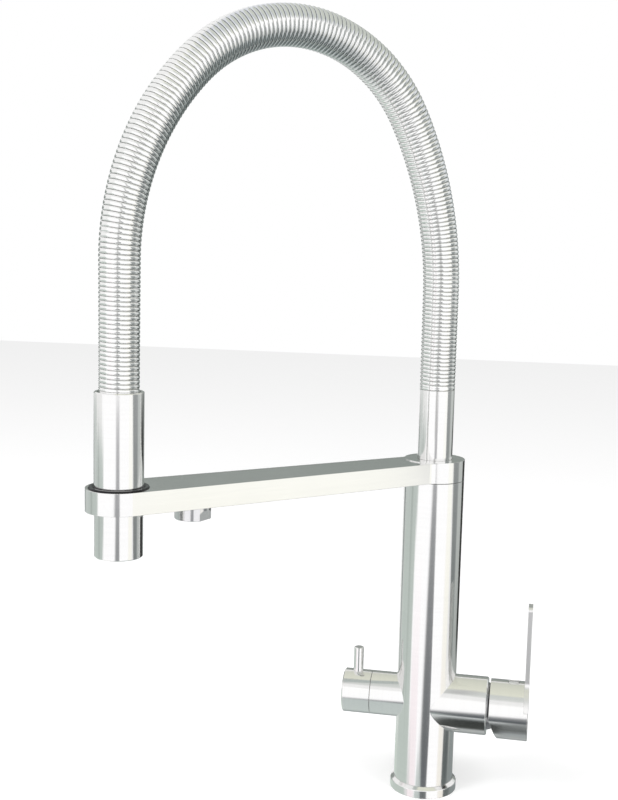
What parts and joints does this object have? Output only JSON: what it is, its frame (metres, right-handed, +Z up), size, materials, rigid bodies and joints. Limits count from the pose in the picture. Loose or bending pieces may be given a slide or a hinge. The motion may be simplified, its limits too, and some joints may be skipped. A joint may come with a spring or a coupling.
{
  "type": "kitchen mixer tap",
  "caption": "Deck-mounted kitchen mixer tap with a sprung swan neck, a docked pull-down spray head, a swivelling docking arm, a filtered water outlet and two side handles.",
  "frame": {"origin": "centre of the base on the worktop", "axes": "+Z up; +X along the axis of the main mixing handle, -X towards the filtered water handle; -Y towards the viewer"},
  "size_m": [0.3035, 0.2341, 0.6098],
  "materials": {
    "brushed_steel": "brushed stainless steel",
    "knob_steel": "brushed stainless steel",
    "spring_steel": "polished stainless steel wire",
    "black_liner": "glossy black",
    "hose_rubber": "matt grey",
    "black_plastic": "satin black",
    "grey_plastic": "satin light grey",
    "seal_rubber": "matt black",
    "brass": "machined",
    "plain_steel": "plain machined steel",
    "copper_pipe": "drawn copper",
    "polished_cover": "polished",
    "ceramic": "lapped white ceramic"
  },
  "bodies": {
    "fixed": {"base_flange": "brushed_steel", "base_seal": "seal_rubber", "column_body": "brushed_steel", "inlet_block": "brass", "hot_inlet_pipe": "copper_pipe", "cold_inlet_pipe": "copper_pipe", "filtered_inlet_pipe": "copper_pipe", "mixing_block": "brass", "mixed_water_pipe": "copper_pipe", "filtered_water_pipe": "copper_pipe", "swivel_post": "brass", "swivel_seals": "seal_rubber", "swivel_washer": "black_plastic", "swivel_clip": "plain_steel", "cartridge_housing": "black_plastic", "ceramic_disc": "ceramic", "cartridge_seals": "seal_rubber", "cartridge_nut": "brass", "cartridge_cover": "polished_cover", "filter_valve": "brass"},
    "arm": {"docking_arm": "brushed_steel", "dock_liner": "black_liner", "riser_tube": "brushed_steel", "hose_root_fitting": "brass", "hose_root_ferrule": "plain_steel", "outlet_housing": "brushed_steel", "outlet_seal": "seal_rubber", "outlet_aerator": "grey_plastic", "arm_water_tube": "plain_steel", "neck_spring": "spring_steel", "inner_hose": "hose_rubber"},
    "hose_end": {"hose_end_fitting": "brass", "hose_end_ferrule": "plain_steel", "spring_collar": "black_plastic"},
    "spray_head": {"spray_sleeve": "brushed_steel", "spray_core": "brass", "swivel_oring": "seal_rubber", "check_valve": "grey_plastic", "spray_face": "black_plastic", "spray_aerator": "grey_plastic"},
    "rotor": {"cartridge_rotor": "grey_plastic", "tilt_pin": "plain_steel"},
    "lever": {"lever_stem": "plain_steel", "handle_cap": "brushed_steel", "lever_blade": "brushed_steel", "cap_set_screw": "plain_steel", "cap_plug": "grey_plastic"},
    "flow_disc": {"disc_carrier": "grey_plastic", "moving_disc": "ceramic"},
    "filter_handle": {"filter_stem": "brass", "filter_knob": "brushed_steel", "knob_pin": "knob_steel", "knob_set_screw": "plain_steel"}
  },
  "joints": [
    {"name": "arm_swivel", "type": "hinge", "parent": "fixed", "child": "arm", "pos_m": [0, 0, 0.2582], "axis": [0, 0, 1], "continuous": true},
    {"name": "spray_lift", "type": "slide", "parent": "arm", "child": "hose_end", "axis": [0, 0, 1], "range_m": [0, 0.055], "deforming": ["neck_spring", "inner_hose"]},
    {"name": "spray_spin", "type": "hinge", "parent": "hose_end", "child": "spray_head", "pos_m": [-0.19747, -0.18414, 0], "axis": [0, 0, 1], "continuous": true},
    {"name": "temperature_turn", "type": "hinge", "parent": "fixed", "child": "rotor", "pos_m": [0.046, 0, 0.073], "axis": [1, 0, 0], "range_deg": [-45, 45]},
    {"name": "flow_tilt", "type": "hinge", "parent": "rotor", "child": "lever", "pos_m": [0.046, 0, 0.073], "axis": [0, 1, 0], "range_deg": [0, 20]},
    {"name": "disc_slide", "type": "slide", "parent": "rotor", "child": "flow_disc", "axis": [0, 0, 1], "range_m": [0, 0.0066]},
    {"name": "filter_turn", "type": "hinge", "parent": "fixed", "child": "filter_handle", "pos_m": [-0.0449, 0, 0.0755], "axis": [1, 0, 0], "range_deg": [0, 90]}
  ],
  "couplings": [
    {"joint": "disc_slide", "follows": "flow_tilt", "m_per_rad": 0.018695}
  ]
}
